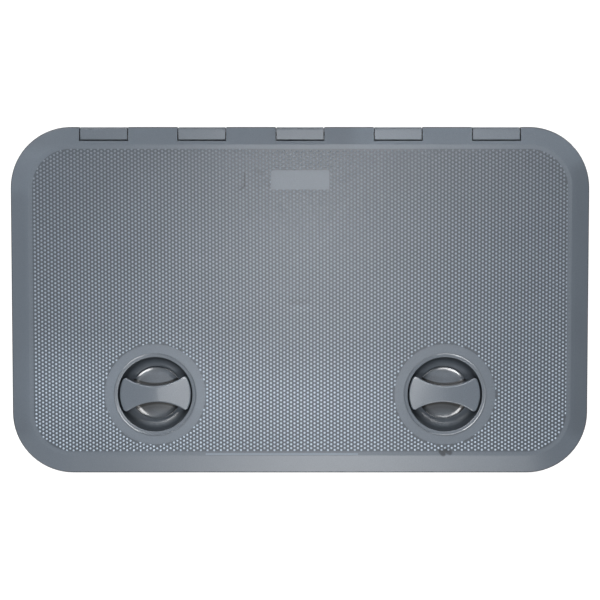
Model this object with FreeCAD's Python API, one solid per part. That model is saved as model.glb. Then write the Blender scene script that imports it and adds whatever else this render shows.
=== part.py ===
import FreeCAD, Part

# Flush access hatch for a deck: a moulded frame, a hinged lid and two turning latches.
# Sizes are in millimetres and angles in degrees.  The origin is the middle of the screw pattern
# on the deck plane, which is the underside of the frame's flange.  +X runs along the hinge,
# +Y points to the hinge side and +Z points up, out of the boat.
import math
import os

Vector = FreeCAD.Vector
UP = Vector(0, 0, 1)

# Lid outline and section
LID_LENGTH = 600.0
LID_WIDTH = 360.0
LID_CORNER_R = 63.0
LID_PLATE = 3.5
BEVEL_WIDTH = 18.5
BEVEL_DROP = 3.0
EDGE_ROUND = 1.4
SKIRT_WALL = 3.0
SKIRT_GAP = 0.4

# Raised non-slip field on the lid and its bare places
FIELD_INSET = 23.0
FIELD_RAISE = 0.3
LATCH_PAD_R = 52.5
LABEL_LENGTH = 60.4
LABEL_WIDTH = 20.0
LABEL_TO_REAR = 54.8

# Frame
FLANGE_THICKNESS = 4.0
FLANGE_INSET = 0.1
COAMING_INSET = 30.0
COAMING_WALL = 3.0
COAMING_STAND = 5.5
COAMING_DEPTH = 35.0
COAMING_EDGE_BREAK = 0.8

# Screw holes through the flange
SCREW_INSET = 20.0
SCREW_PITCH_LONG = 120.0
SCREW_PITCH_SHORT = 100.0
SCREW_HOLE_R = 2.25
SCREW_HEAD_R = 4.5

# Lid seal
GASKET_WIDTH = 6.6
GASKET_HEIGHT = 4.25
GASKET_TO_COAMING = 0.25
GROOVE_SIDE_GAP = 0.2
SEAL_RIB = 2.0
SEAL_RIB_HEIGHT = 5.5

# Stiffening ribs under the lid
RIB = 2.5
RIB_HEIGHT = 10.0
LONG_RIB_COUNT = 3
LONG_RIB_PITCH = 72.0
LONG_RIB_TO_REAR = 74.0
CROSS_RIB_COUNT = 7
CROSS_RIB_PITCH = 75.4
RIB_TO_NUT = 3.0

# Hinge
BARREL_R = 7.0
BARREL_TO_FLANGE = 0.5
BARREL_OVERHANG = 18.0
PIN_R = 2.0
PIN_END_GAP = 1.0
FRAME_BORE_GAP = 0.04
LID_BORE_GAP = 0.1
KNUCKLE_COUNT = 5
KNUCKLE_PITCH = 101.5
KNUCKLE_LENGTH = 48.4
KNUCKLE_SIDE_GAP = 1.1
KNUCKLE_FRONT = 6.5
KNUCKLE_BACK = 6.9
KNUCKLE_TOP = 3.5
KNUCKLE_BACK_ROUND = 3.0
KNUCKLE_FRONT_ROUND = 1.0
NOTCH_FRONT_GAP = 1.2
NOTCH_WALL = 2.5
PLUG_LENGTH = 5.0

# Latch places on the lid, and how far the handles stand turned in the photograph
LATCH_TO_END = 149.2
LATCH_TO_FRONT = 82.7
HANDLE_TURN = 1.6

# Latch cup
CUP_RIM_R = 42.7
CUP_RIM = 1.8
CUP_RIM_BREAK = 0.5
CUP_PROUD = 0.8
CUP_INNER_R = 38.9
CUP_WALL = 2.0
CUP_DEPTH = 17.3
CUP_CURVE_R = 12.7
BOWL_STEPS = 3
CUP_HOLE_GAP = 0.2
CUP_SEAL = 0.8
CUP_COLLAR_LENGTH = 12.3
CUP_NUT_R = 45.0
CUP_NUT = 4.5
CUP_NUT_GAP = 0.1
CUP_NUT_SLOTS = 6
CUP_NUT_SLOT_WIDTH = 5.0
CUP_NUT_SLOT_DEPTH = 2.0
CUP_BOSS_R = 11.5
CUP_BOSS = 4.0

# Handle
HANDLE_END_GAP = 1.6
HANDLE_BOWL_GAP = 1.0
HANDLE_BELOW_RIM = 0.9
HANDLE_WAIST_TOP = 8.2
HANDLE_WAIST_FOOT = 9.6
HANDLE_SIDE_R = 52.0
HANDLE_CORNER_R = 3.5
HANDLE_EDGE_BREAK = 0.8
HANDLE_CROWN = 3.0
HANDLE_WALL = 2.6
DISC_R = 24.0
DISC = 3.0
DISC_EDGE_BREAK = 1.6
SPINDLE_R = 7.0
SPINDLE_GAP = 0.1
SPINDLE_SQUARE = 9.6
O_RING_R = 0.82
O_RING_SIDES = 6
O_RING_GROOVE_DEPTH = 1.6
O_RING_GROOVE_WIDTH = 2.5
THRUST_WASHER = 0.8
THRUST_WASHER_R = 13.0
THRUST_GAP = 0.1

# Latch arm and its screw
ARM_TO_WALL = 3.7
ARM = 7.0
ARM_HUB_R = 11.0
ARM_HUB_WIDTH = 18.0
ARM_TIP_WIDTH = 13.0
ARM_TIP_CHAMFER = 1.5
ARM_SQUARE_GAP = 0.1
ARM_WASHER_R = 8.0
ARM_WASHER = 1.2
SCREW_R = 2.4
SCREW_SIDE_GAP = 0.05
SCREW_LENGTH = 16.0
SCREW_END_GAP = 1.0
SCREW_PAN_R = 4.6
SCREW_PAN = 3.2
SCREW_PAN_BREAK = 1.0
SCREW_SLOT_WIDTH = 1.2
SCREW_SLOT_DEPTH = 1.6

# Strikes under which the arms turn
STRIKE_LENGTH = 50.0
STRIKE_REACH = 10.0
STRIKE = 6.0
STRIKE_RAMP = 14.0
STRIKE_RAMP_RISE = 3.0
ARM_TO_STRIKE = 0.3

# Heights and places that follow from the sizes above
OVERSHOOT = 5.0
TOUCH = 0.01
COAMING_TOP = FLANGE_THICKNESS + COAMING_STAND
LID_UNDERSIDE = COAMING_TOP + GASKET_TO_COAMING + GASKET_HEIGHT
LID_TOP = LID_UNDERSIDE + LID_PLATE
EDGE_Z = LID_TOP - BEVEL_DROP
SKIRT_BOTTOM = FLANGE_THICKNESS + SKIRT_GAP
FIELD_TOP = LID_TOP + FIELD_RAISE
CORNER_X = LID_LENGTH / 2 - LID_CORNER_R
CORNER_Y = LID_WIDTH / 2 - LID_CORNER_R
LABEL_Y = LID_WIDTH / 2 - LABEL_TO_REAR
LATCH_X = LID_LENGTH / 2 - LATCH_TO_END
LATCH_Y = LATCH_TO_FRONT - LID_WIDTH / 2
COAMING_LENGTH = LID_LENGTH - 2 * COAMING_INSET
COAMING_WIDTH = LID_WIDTH - 2 * COAMING_INSET
ARM_REACH = LATCH_TO_FRONT - COAMING_INSET - COAMING_WALL - ARM_TO_WALL

AXIS_Y = LID_WIDTH / 2 - BARREL_R
AXIS_Z = FLANGE_THICKNESS + BARREL_TO_FLANGE + BARREL_R
NOTCH_FRONT_Y = AXIS_Y - KNUCKLE_FRONT - NOTCH_FRONT_GAP
KNUCKLES_END = (KNUCKLE_COUNT - 1) / 2 * KNUCKLE_PITCH + KNUCKLE_LENGTH / 2
BARREL_END = KNUCKLES_END + BARREL_OVERHANG
PIN_END = BARREL_END - PLUG_LENGTH - PIN_END_GAP
LID_BORE_R = PIN_R + LID_BORE_GAP

CUP_TOP = LID_TOP + CUP_PROUD
CUP_SEAT = CUP_TOP - CUP_RIM - CUP_SEAL
CUP_FLOOR = CUP_TOP - CUP_DEPTH
CUP_CURVE_TOP = CUP_FLOOR + CUP_CURVE_R
CUP_OUTER_R = CUP_INNER_R + CUP_WALL
CUP_HOLE_R = CUP_OUTER_R + CUP_HOLE_GAP
CUP_BOSS_BOTTOM = CUP_FLOOR - CUP_WALL - CUP_BOSS
O_RING_Z = (CUP_FLOOR + CUP_BOSS_BOTTOM) / 2
HANDLE_TOP = CUP_TOP - HANDLE_BELOW_RIM
HANDLE_R = CUP_INNER_R - HANDLE_END_GAP
DISC_BOTTOM = CUP_FLOOR + THRUST_WASHER + 2 * THRUST_GAP
DISC_TOP = DISC_BOTTOM + DISC
ARM_TOP = CUP_BOSS_BOTTOM - THRUST_GAP
ARM_BOTTOM = ARM_TOP - ARM
STRIKE_UNDERSIDE = ARM_TOP + ARM_TO_STRIKE
SIDES = (("left", -1), ("right", 1))


def round_rectangle(length, width, radius, z):
    """Closed wire of a rectangle with round corners, centred on the Z axis at height z."""
    edges = []
    start = None
    last = None
    for turn, (side_x, side_y) in enumerate(((1, 1), (-1, 1), (-1, -1), (1, -1))):
        middle = Vector(side_x * (length / 2 - radius), side_y * (width / 2 - radius), z)
        angles = [math.radians(90.0 * turn + step) for step in (0.0, 45.0, 90.0)]
        first, half, end = [middle + Vector(math.cos(a), math.sin(a), 0) * radius for a in angles]
        if last is None:
            start = first
        else:
            edges.append(Part.LineSegment(last, first).toShape())
        edges.append(Part.Arc(first, half, end).toShape())
        last = end
    edges.append(Part.LineSegment(last, start).toShape())
    return Part.Wire(edges)


def lid_outline(inset, z):
    """The lid's outline, moved inwards by inset, at height z."""
    return round_rectangle(LID_LENGTH - 2 * inset, LID_WIDTH - 2 * inset, LID_CORNER_R - inset, z)


def coaming_outline(outset, z):
    """The outline of the coaming's middle line, moved outwards by outset, at height z."""
    grow = 2 * outset - COAMING_WALL
    radius = LID_CORNER_R - COAMING_INSET + grow / 2
    return round_rectangle(COAMING_LENGTH + grow, COAMING_WIDTH + grow, radius, z)


def moulded(section, length, width, radius):
    """Solid with one section all round: quarter turns at the corners, straight runs, a flat middle.

    section is a closed half section whose first coordinate runs outwards from a corner's centre."""
    face = Part.Face(Part.Wire(section))
    run_x = length / 2 - radius
    run_y = width / 2 - radius
    height = face.BoundBox
    pieces = [block((-run_x, run_x), (-run_y, run_y), (height.ZMin, height.ZMax))]
    for turn, (side_x, side_y) in enumerate(((1, 1), (-1, 1), (-1, -1), (1, -1))):
        corner = face.revolve(Vector(0, 0, 0), UP, 90)
        corner.rotate(Vector(0, 0, 0), UP, 90 * turn)
        corner.translate(Vector(side_x * run_x, side_y * run_y, 0))
        reach, length_along = (run_x, run_y) if turn % 2 == 0 else (run_y, run_x)
        side = face.extrude(Vector(0, 2 * length_along, 0))
        side.translate(Vector(reach, -length_along, 0))
        side.rotate(Vector(0, 0, 0), UP, 90 * turn)
        pieces += [corner, side]
    return pieces[0].fuse(pieces[1:]).removeSplitter()


def raised(wire, height):
    """Solid of a flat outline pulled straight up."""
    return Part.Face(wire).extrude(UP * height)


def wall_ring(outline, outer, inner, bottom, top):
    """Closed upright wall between two offsets of an outline."""
    return raised(outline(outer, bottom), top - bottom).cut(raised(outline(inner, bottom), top - bottom))


def block(x_range, y_range, z_range):
    """Box between two corners."""
    low = Vector(x_range[0], y_range[0], z_range[0])
    high = Vector(x_range[1], y_range[1], z_range[1])
    size = high - low
    return Part.makeBox(size.x, size.y, size.z, low)


def disc(radius, bottom, top):
    """Round plate on the Z axis."""
    return Part.makeCylinder(radius, top - bottom, Vector(0, 0, bottom))


def ring(outer_r, inner_r, bottom, top):
    """Round washer on the Z axis."""
    return disc(outer_r, bottom, top).cut(disc(inner_r, bottom, top))


def rod(radius, x_start, x_end):
    """Round bar along the hinge axis."""
    return Part.makeCylinder(radius, x_end - x_start, Vector(x_start, AXIS_Y, AXIS_Z), Vector(1, 0, 0))


def turned(edges):
    """Solid of revolution about the Z axis from the edges of a closed half section."""
    return Part.Face(Part.Wire(edges)).revolve(Vector(0, 0, 0), UP, 360)


def line(start, end):
    """Straight edge between two points (radius, height) of a half section."""
    return Part.LineSegment(Vector(start[0], 0, start[1]), Vector(end[0], 0, end[1])).toShape()


def curve(start, middle, end):
    """Round edge through three points (radius, height) of a half section."""
    return Part.Arc(*[Vector(r, 0, z) for r, z in (start, middle, end)]).toShape()


def polygon(points):
    """Edges of a closed half section with straight sides."""
    return [line(a, b) for a, b in zip(points, points[1:] + points[:1])]


def rounded(shape, radius, chosen):
    """The shape with a fillet on each edge for which chosen(edge) is true."""
    return shape.makeFillet(radius, [edge for edge in shape.Edges if chosen(edge)])


def broken(shape, size, chosen):
    """The shape with a chamfer on each edge for which chosen(edge) is true."""
    return shape.makeChamfer(size, [edge for edge in shape.Edges if chosen(edge)])


def at_latch(shape, side):
    """A latch piece made round the Z axis, copied to its place on one side of the lid."""
    placed = shape.copy()
    placed.translate(Vector(side * LATCH_X, LATCH_Y, 0))
    return placed


def turned_as_seen(shape, side):
    """A handle or arm piece that points outwards, turned a little as the handles stand."""
    placed = shape.copy()
    if side < 0:
        placed.rotate(Vector(0, 0, 0), UP, 180)
    placed.rotate(Vector(0, 0, 0), UP, -side * HANDLE_TURN)
    return at_latch(placed, side)


def spread(count, pitch):
    """Evenly spaced places, with the row's middle at zero."""
    return [i * pitch - (count - 1) * pitch / 2 for i in range(count)]


def knuckle_places():
    """Middle of each knuckle along the hinge."""
    return spread(KNUCKLE_COUNT, KNUCKLE_PITCH)


def screw_places():
    """Middle of each flange screw: rows on the four sides and one in each corner."""
    row_x = LID_LENGTH / 2 - SCREW_INSET
    row_y = LID_WIDTH / 2 - SCREW_INSET
    diagonal = (LID_CORNER_R - SCREW_INSET) * math.cos(math.radians(45))
    quarter = [
        (SCREW_PITCH_LONG / 2, row_y),
        (SCREW_PITCH_LONG * 3 / 2, row_y),
        (row_x, SCREW_PITCH_SHORT / 2),
        (CORNER_X + diagonal, CORNER_Y + diagonal),
    ]
    return [(sx * x, sy * y) for x, y in quarter for sx in (-1, 1) for sy in (-1, 1)]


def knuckle():
    """One frame knuckle with its rounded back and front edges, centred on x = 0."""
    solid = block(
        (-KNUCKLE_LENGTH / 2, KNUCKLE_LENGTH / 2),
        (AXIS_Y - KNUCKLE_FRONT, AXIS_Y + KNUCKLE_BACK),
        (FLANGE_THICKNESS / 2, AXIS_Z + KNUCKLE_TOP),
    )

    def top_edge(edge, y):
        box = edge.BoundBox
        return box.ZMin > AXIS_Z and box.YLength < TOUCH and abs(box.YMin - y) < TOUCH

    solid = rounded(solid, KNUCKLE_BACK_ROUND, lambda e: top_edge(e, AXIS_Y + KNUCKLE_BACK))
    return rounded(solid, KNUCKLE_FRONT_ROUND, lambda e: top_edge(e, AXIS_Y - KNUCKLE_FRONT))


def strike(side):
    """Ledge inside the front wall, with a ramp on the side from which the arm comes."""
    wall_y = -(COAMING_WIDTH / 2 - COAMING_WALL)
    half = STRIKE_LENGTH / 2
    top = STRIKE_UNDERSIDE + STRIKE
    outline = [
        (-half, STRIKE_UNDERSIDE),
        (half - STRIKE_RAMP, STRIKE_UNDERSIDE),
        (half, STRIKE_UNDERSIDE + STRIKE_RAMP_RISE),
        (half, top),
        (-half, top),
    ]
    points = [Vector(side * (LATCH_X + x), wall_y - COAMING_WALL / 2, z) for x, z in outline]
    face = Part.Face(Part.makePolygon(points + points[:1]))
    return face.extrude(Vector(0, STRIKE_REACH + COAMING_WALL / 2, 0))


def make_frame():
    """Flange, coaming, five knuckles, two strikes and the screw holes in one moulding."""
    half_wall = COAMING_WALL / 2
    coaming = wall_ring(coaming_outline, half_wall, -half_wall, -COAMING_DEPTH, COAMING_TOP)
    coaming = broken(coaming, COAMING_EDGE_BREAK, lambda e: e.BoundBox.ZMin > COAMING_TOP - TOUCH)
    flange = raised(lid_outline(FLANGE_INSET, 0.0), FLANGE_THICKNESS)
    flange = flange.cut(raised(coaming_outline(half_wall, -OVERSHOOT), 4 * OVERSHOOT))
    body = flange.fuse([coaming] + [strike(side) for _, side in SIDES])
    for x in knuckle_places():
        piece = knuckle()
        piece.translate(Vector(x, 0, 0))
        body = body.fuse(piece)
    body = body.cut(rod(PIN_R + FRAME_BORE_GAP, -BARREL_END, BARREL_END))
    cone_depth = SCREW_HEAD_R - SCREW_HOLE_R
    cone_foot = Vector(0, 0, FLANGE_THICKNESS - cone_depth)
    countersink = Part.makeCone(SCREW_HOLE_R, SCREW_HEAD_R, cone_depth, cone_foot)
    for x, y in screw_places():
        drill = disc(SCREW_HOLE_R, -OVERSHOOT, FLANGE_THICKNESS).fuse(countersink)
        drill.translate(Vector(x, y, 0))
        body = body.cut(drill)
    return body.removeSplitter()


def lid_envelope():
    """The lid as a solid block: upright edge, small round, planar bevel and flat plateau."""
    slope = math.atan2(BEVEL_DROP, BEVEL_WIDTH)
    # The round's centre lies EDGE_ROUND inside both the upright edge and the bevel
    tangent = EDGE_ROUND * math.tan((math.pi / 2 - slope) / 2)
    centre_r = LID_CORNER_R - EDGE_ROUND
    centre_z = EDGE_Z - tangent
    leave = (centre_r + EDGE_ROUND * math.sin(slope), centre_z + EDGE_ROUND * math.cos(slope))
    turn = (math.pi / 2 + slope) / 2
    middle = (centre_r + EDGE_ROUND * math.sin(turn), centre_z + EDGE_ROUND * math.cos(turn))
    start = (LID_CORNER_R, centre_z)
    crest = (LID_CORNER_R - BEVEL_WIDTH, LID_TOP)
    return moulded([
        line((0.0, SKIRT_BOTTOM), (LID_CORNER_R, SKIRT_BOTTOM)),
        line((LID_CORNER_R, SKIRT_BOTTOM), start),
        curve(start, middle, leave),
        line(leave, crest),
        line(crest, (0.0, LID_TOP)),
        line((0.0, LID_TOP), (0.0, SKIRT_BOTTOM)),
    ], LID_LENGTH, LID_WIDTH, LID_CORNER_R)


def lid_cavity():
    """The room under the lid's plate, inside its skirt."""
    wall_r = LID_CORNER_R - SKIRT_WALL
    corner_z = EDGE_Z + BEVEL_DROP * SKIRT_WALL / BEVEL_WIDTH - LID_PLATE
    bottom = SKIRT_BOTTOM - OVERSHOOT
    section = polygon([
        (0.0, bottom),
        (wall_r, bottom),
        (wall_r, corner_z),
        (LID_CORNER_R - BEVEL_WIDTH, LID_UNDERSIDE),
        (0.0, LID_UNDERSIDE),
    ])
    return moulded(section, LID_LENGTH - 2 * SKIRT_WALL, LID_WIDTH - 2 * SKIRT_WALL, wall_r)


def field():
    """Low raised ground of the non-slip pattern, with its bare places left out."""
    root = LID_TOP - LID_PLATE / 2
    ground = raised(lid_outline(FIELD_INSET, root), FIELD_TOP - root)
    ground = ground.cut(block(
        (-LABEL_LENGTH / 2, LABEL_LENGTH / 2),
        (LABEL_Y - LABEL_WIDTH / 2, LABEL_Y + LABEL_WIDTH / 2),
        (LID_TOP, FIELD_TOP + OVERSHOOT),
    ))
    for _, side in SIDES:
        ground = ground.cut(at_latch(disc(LATCH_PAD_R, LID_TOP, FIELD_TOP + OVERSHOOT), side))
    return ground


def stiffening_ribs():
    """Lattice of ribs inside the seal, left out round the latch cups."""
    inner = -(GASKET_WIDTH / 2 + GROOVE_SIDE_GAP + SEAL_RIB / 2)
    bottom = LID_UNDERSIDE - RIB_HEIGHT
    top = LID_UNDERSIDE + LID_PLATE / 2
    inside = raised(coaming_outline(inner, bottom), top - bottom)
    reach_x = LID_LENGTH / 2
    reach_y = LID_WIDTH / 2
    bars = []
    for i in range(LONG_RIB_COUNT):
        y = reach_y - LONG_RIB_TO_REAR - i * LONG_RIB_PITCH
        bars.append(block((-reach_x, reach_x), (y - RIB / 2, y + RIB / 2), (bottom, top)))
    for x in spread(CROSS_RIB_COUNT, CROSS_RIB_PITCH):
        bars.append(block((x - RIB / 2, x + RIB / 2), (-reach_y, reach_y), (bottom, top)))
    lattice = bars[0].fuse(bars[1:]).common(inside)
    room = disc(CUP_NUT_R + RIB_TO_NUT, bottom - OVERSHOOT, top + OVERSHOOT)
    return lattice.cut([at_latch(room, side) for _, side in SIDES])


def seal_ribs():
    """The two ribs that form the gasket's groove."""
    groove = GASKET_WIDTH / 2 + GROOVE_SIDE_GAP
    bottom = LID_UNDERSIDE - SEAL_RIB_HEIGHT
    top = LID_UNDERSIDE + LID_PLATE / 2
    outside = wall_ring(coaming_outline, groove + SEAL_RIB, groove, bottom, top)
    inside = wall_ring(coaming_outline, -groove, -groove - SEAL_RIB, bottom, top)
    return [outside, inside]


def make_lid():
    """Bevelled plate with skirt, barrels, notches, seal ribs, stiffening ribs and cup seats."""
    envelope = lid_envelope()
    hinge_block = envelope.common(block(
        (-BARREL_END, BARREL_END),
        (NOTCH_FRONT_Y - NOTCH_WALL, LID_WIDTH / 2),
        (SKIRT_BOTTOM, LID_TOP),
    ))
    body = envelope.cut(lid_cavity())
    body = body.fuse([hinge_block, field(), stiffening_ribs()] + seal_ribs())
    # Behind the axis everything below it turns downwards, so it is round about the pin
    half_length = LID_LENGTH / 2
    behind = LID_WIDTH / 2 + OVERSHOOT
    sweep = block((-half_length, half_length), (AXIS_Y, behind), (0.0, AXIS_Z))
    body = body.cut(sweep.cut(rod(BARREL_R, -half_length, half_length)))
    for x in knuckle_places():
        half = KNUCKLE_LENGTH / 2 + KNUCKLE_SIDE_GAP
        body = body.cut(block((x - half, x + half), (NOTCH_FRONT_Y, behind), (0.0, LID_TOP + OVERSHOOT)))
    body = body.cut(rod(LID_BORE_R, -PIN_END - PIN_END_GAP, LID_LENGTH / 2))
    for _, side in SIDES:
        hole = disc(CUP_HOLE_R, LID_UNDERSIDE - OVERSHOOT, LID_TOP + OVERSHOOT)
        seat = disc(CUP_RIM_R + CUP_HOLE_GAP, CUP_SEAT, LID_TOP + OVERSHOOT)
        body = body.cut(at_latch(hole.fuse(seat), side))
    return body.removeSplitter()


def make_gasket():
    """Rubber ring in the lid's groove, just clear of the coaming's edge when the lid is down."""
    half = GASKET_WIDTH / 2
    bottom = COAMING_TOP + GASKET_TO_COAMING
    return wall_ring(coaming_outline, half, -half, bottom, LID_UNDERSIDE)


def bowl_solid(wall_r, curve_r, floor, top):
    """Solid bowl: flat floor, round side of radius curve_r, then a straight wall of radius wall_r."""
    floor_r = wall_r - curve_r
    half = curve_r * math.cos(math.radians(45))
    middle = (floor_r + half, floor + curve_r - half)
    return turned([
        line((0.0, floor), (floor_r, floor)),
        curve((floor_r, floor), middle, (wall_r, floor + curve_r)),
        line((wall_r, floor + curve_r), (wall_r, top)),
        line((wall_r, top), (0.0, top)),
        line((0.0, top), (0.0, floor)),
    ])


def stepped_bowl(wall_r, curve_r, floor, top, grow):
    """Solid bowl whose side has straight steps in place of its round.

    The steps touch the round from outside where grow is true, and from inside where it is false."""
    centre = (wall_r - curve_r, floor + curve_r)
    step = math.pi / 2 / BOWL_STEPS
    if grow:
        reach = curve_r / math.cos(step / 2)
        angles = [step * (i + 0.5) for i in range(BOWL_STEPS)]
    else:
        reach = curve_r
        angles = [step * i for i in range(BOWL_STEPS + 1)]
    side = [(centre[0] + reach * math.sin(a), centre[1] - reach * math.cos(a)) for a in angles]
    return turned(polygon([(0.0, floor)] + side + [(wall_r, top), (0.0, top)]))


def make_cup():
    """Latch cup: thin bowl with a rim, a threaded collar outside and a spindle boss below."""
    shell = stepped_bowl(CUP_OUTER_R, CUP_CURVE_R + CUP_WALL, CUP_FLOOR - CUP_WALL, CUP_TOP, True)
    rim = disc(CUP_RIM_R, CUP_TOP - CUP_RIM, CUP_TOP)
    rim = broken(rim, CUP_RIM_BREAK, lambda e: e.BoundBox.ZMin > CUP_TOP - TOUCH)
    collar = ring(CUP_OUTER_R, CUP_INNER_R, CUP_TOP - CUP_COLLAR_LENGTH, CUP_CURVE_TOP)
    boss = disc(CUP_BOSS_R, CUP_BOSS_BOTTOM, CUP_FLOOR)
    body = shell.fuse([rim, collar, boss])
    body = body.cut(bowl_solid(CUP_INNER_R, CUP_CURVE_R, CUP_FLOOR, CUP_TOP + OVERSHOOT))
    body = body.cut(disc(SPINDLE_R + SPINDLE_GAP, CUP_BOSS_BOTTOM - OVERSHOOT, CUP_TOP))
    return body.removeSplitter()


def make_cup_seal():
    """Flat ring between the cup's rim and its seat in the lid."""
    return ring(CUP_RIM_R, CUP_HOLE_R, CUP_SEAT, CUP_SEAT + CUP_SEAL)


def make_cup_nut():
    """Ring nut on the cup's collar, with slots for a hook spanner."""
    bottom = LID_UNDERSIDE - CUP_NUT
    nut = ring(CUP_NUT_R, CUP_OUTER_R + CUP_NUT_GAP, bottom, LID_UNDERSIDE)
    for i in range(CUP_NUT_SLOTS):
        slot = block(
            (CUP_NUT_R - CUP_NUT_SLOT_DEPTH, CUP_NUT_R + OVERSHOOT),
            (-CUP_NUT_SLOT_WIDTH / 2, CUP_NUT_SLOT_WIDTH / 2),
            (bottom - OVERSHOOT, LID_UNDERSIDE + OVERSHOOT),
        )
        slot.rotate(Vector(0, 0, 0), UP, 360.0 / CUP_NUT_SLOTS * i)
        nut = nut.cut(slot)
    return nut


def bow_tie(inset, bottom, top):
    """Solid bow tie: round ends, and hollow long sides that lean in towards the top."""
    lean = (HANDLE_WAIST_FOOT - HANDLE_WAIST_TOP) / (HANDLE_TOP - DISC_BOTTOM)
    foot_r = HANDLE_SIDE_R + inset - lean * (HANDLE_TOP - bottom)
    top_r = HANDLE_SIDE_R + inset + lean * (top - HANDLE_TOP)
    body = disc(HANDLE_R - inset, bottom, top)
    for sign in (-1, 1):
        foot = Vector(0, sign * (HANDLE_WAIST_TOP + HANDLE_SIDE_R), bottom)
        body = body.cut(Part.makeCone(foot_r, top_r, top - bottom, foot))
    # The cones leave a sliver beyond themselves on both sides
    flare = HANDLE_WAIST_TOP + HANDLE_SIDE_R
    return body.common(block((-HANDLE_R, HANDLE_R), (-flare, flare), (bottom, top)))


def make_handle():
    """Bow-tie bar on a base disc, with a sealed spindle that ends in a square."""
    bar = bow_tie(0.0, DISC_BOTTOM, HANDLE_TOP)
    bar = rounded(bar, HANDLE_CORNER_R, lambda e: e.BoundBox.ZLength > (HANDLE_TOP - DISC_BOTTOM) / 2)
    # The top falls a little from a ridge across the middle to both ends
    fall = math.tan(math.radians(HANDLE_CROWN)) * HANDLE_R
    for side in (-1, 1):
        wedge = [
            Vector(0, -HANDLE_R, HANDLE_TOP),
            Vector(side * HANDLE_R, -HANDLE_R, HANDLE_TOP - fall),
            Vector(side * HANDLE_R, -HANDLE_R, HANDLE_TOP + OVERSHOOT),
            Vector(0, -HANDLE_R, HANDLE_TOP + OVERSHOOT),
        ]
        bar = bar.cut(Part.Face(Part.makePolygon(wedge + wedge[:1])).extrude(Vector(0, 2 * HANDLE_R, 0)))
    ridge_z = HANDLE_TOP - fall - TOUCH
    bar = broken(bar, HANDLE_EDGE_BREAK, lambda e: e.BoundBox.ZMin > ridge_z and e.BoundBox.XLength > TOUCH)
    bowl_floor = CUP_FLOOR + HANDLE_BOWL_GAP
    curve_r = CUP_CURVE_R - HANDLE_BOWL_GAP
    bar = bar.common(stepped_bowl(CUP_INNER_R - HANDLE_BOWL_GAP, curve_r, bowl_floor, CUP_TOP, False))
    # The ends are hollow below, so that the moulding has an even wall
    core_top = HANDLE_TOP - fall - HANDLE_WALL
    core = bow_tie(HANDLE_WALL, DISC_BOTTOM - OVERSHOOT, core_top)
    bar = bar.cut(core.cut(disc(DISC_R + HANDLE_WALL, DISC_BOTTOM - OVERSHOOT, core_top)))
    base = disc(DISC_R, DISC_BOTTOM, DISC_TOP)
    base = broken(base, DISC_EDGE_BREAK, lambda e: e.BoundBox.ZMin > DISC_TOP - TOUCH)
    spindle = disc(SPINDLE_R, CUP_BOSS_BOTTOM, DISC_TOP)
    half_groove = O_RING_GROOVE_WIDTH / 2
    spindle = spindle.cut(ring(SPINDLE_R + OVERSHOOT, SPINDLE_R - O_RING_GROOVE_DEPTH,
                               O_RING_Z - half_groove, O_RING_Z + half_groove))
    half = SPINDLE_SQUARE / 2
    square = block((-half, half), (-half, half), (ARM_BOTTOM + ARM_SQUARE_GAP, CUP_BOSS_BOTTOM))
    body = bar.fuse([base, spindle, square])
    screw_end = ARM_BOTTOM - ARM_WASHER + SCREW_LENGTH
    body = body.cut(disc(SCREW_R + SCREW_SIDE_GAP, ARM_BOTTOM, screw_end + SCREW_END_GAP))
    return body.removeSplitter()


def make_o_ring():
    """Shaft seal in the spindle's groove, with a section of flat sides in place of a round one."""
    centre_r = SPINDLE_R - O_RING_GROOVE_DEPTH + O_RING_R
    half_side = math.pi / O_RING_SIDES
    corner_r = O_RING_R / math.cos(half_side)
    angles = [half_side * (2 * i + 1) for i in range(O_RING_SIDES)]
    return turned(polygon([
        (centre_r + corner_r * math.cos(a), O_RING_Z + corner_r * math.sin(a)) for a in angles
    ]))


def make_thrust_washer():
    """Thin plain bearing between the base disc and the cup's floor."""
    bottom = CUP_FLOOR + THRUST_GAP
    return ring(THRUST_WASHER_R, SPINDLE_R + SPINDLE_GAP, bottom, bottom + THRUST_WASHER)


def make_arm():
    """Latch arm that points along +X: hub with a square hole, and a tapering tongue."""
    points = [
        (0.0, -ARM_HUB_WIDTH / 2),
        (ARM_REACH, -ARM_TIP_WIDTH / 2),
        (ARM_REACH, ARM_TIP_WIDTH / 2),
        (0.0, ARM_HUB_WIDTH / 2),
    ]
    corners = [Vector(x, y, ARM_BOTTOM) for x, y in points]
    tongue = raised(Part.makePolygon(corners + corners[:1]), ARM)

    def tip_edge(edge):
        return edge.BoundBox.ZMin > ARM_TOP - TOUCH and edge.BoundBox.XMin > ARM_REACH - TOUCH

    tongue = broken(tongue, ARM_TIP_CHAMFER, tip_edge)
    body = tongue.fuse(disc(ARM_HUB_R, ARM_BOTTOM, ARM_TOP))
    half = SPINDLE_SQUARE / 2 + ARM_SQUARE_GAP
    hole = block((-half, half), (-half, half), (ARM_BOTTOM - OVERSHOOT, ARM_TOP + OVERSHOOT))
    return body.cut(hole).removeSplitter()


def make_arm_washer():
    """Plain washer under the arm's screw."""
    return ring(ARM_WASHER_R, SCREW_R + SCREW_SIDE_GAP, ARM_BOTTOM - ARM_WASHER, ARM_BOTTOM)


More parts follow.
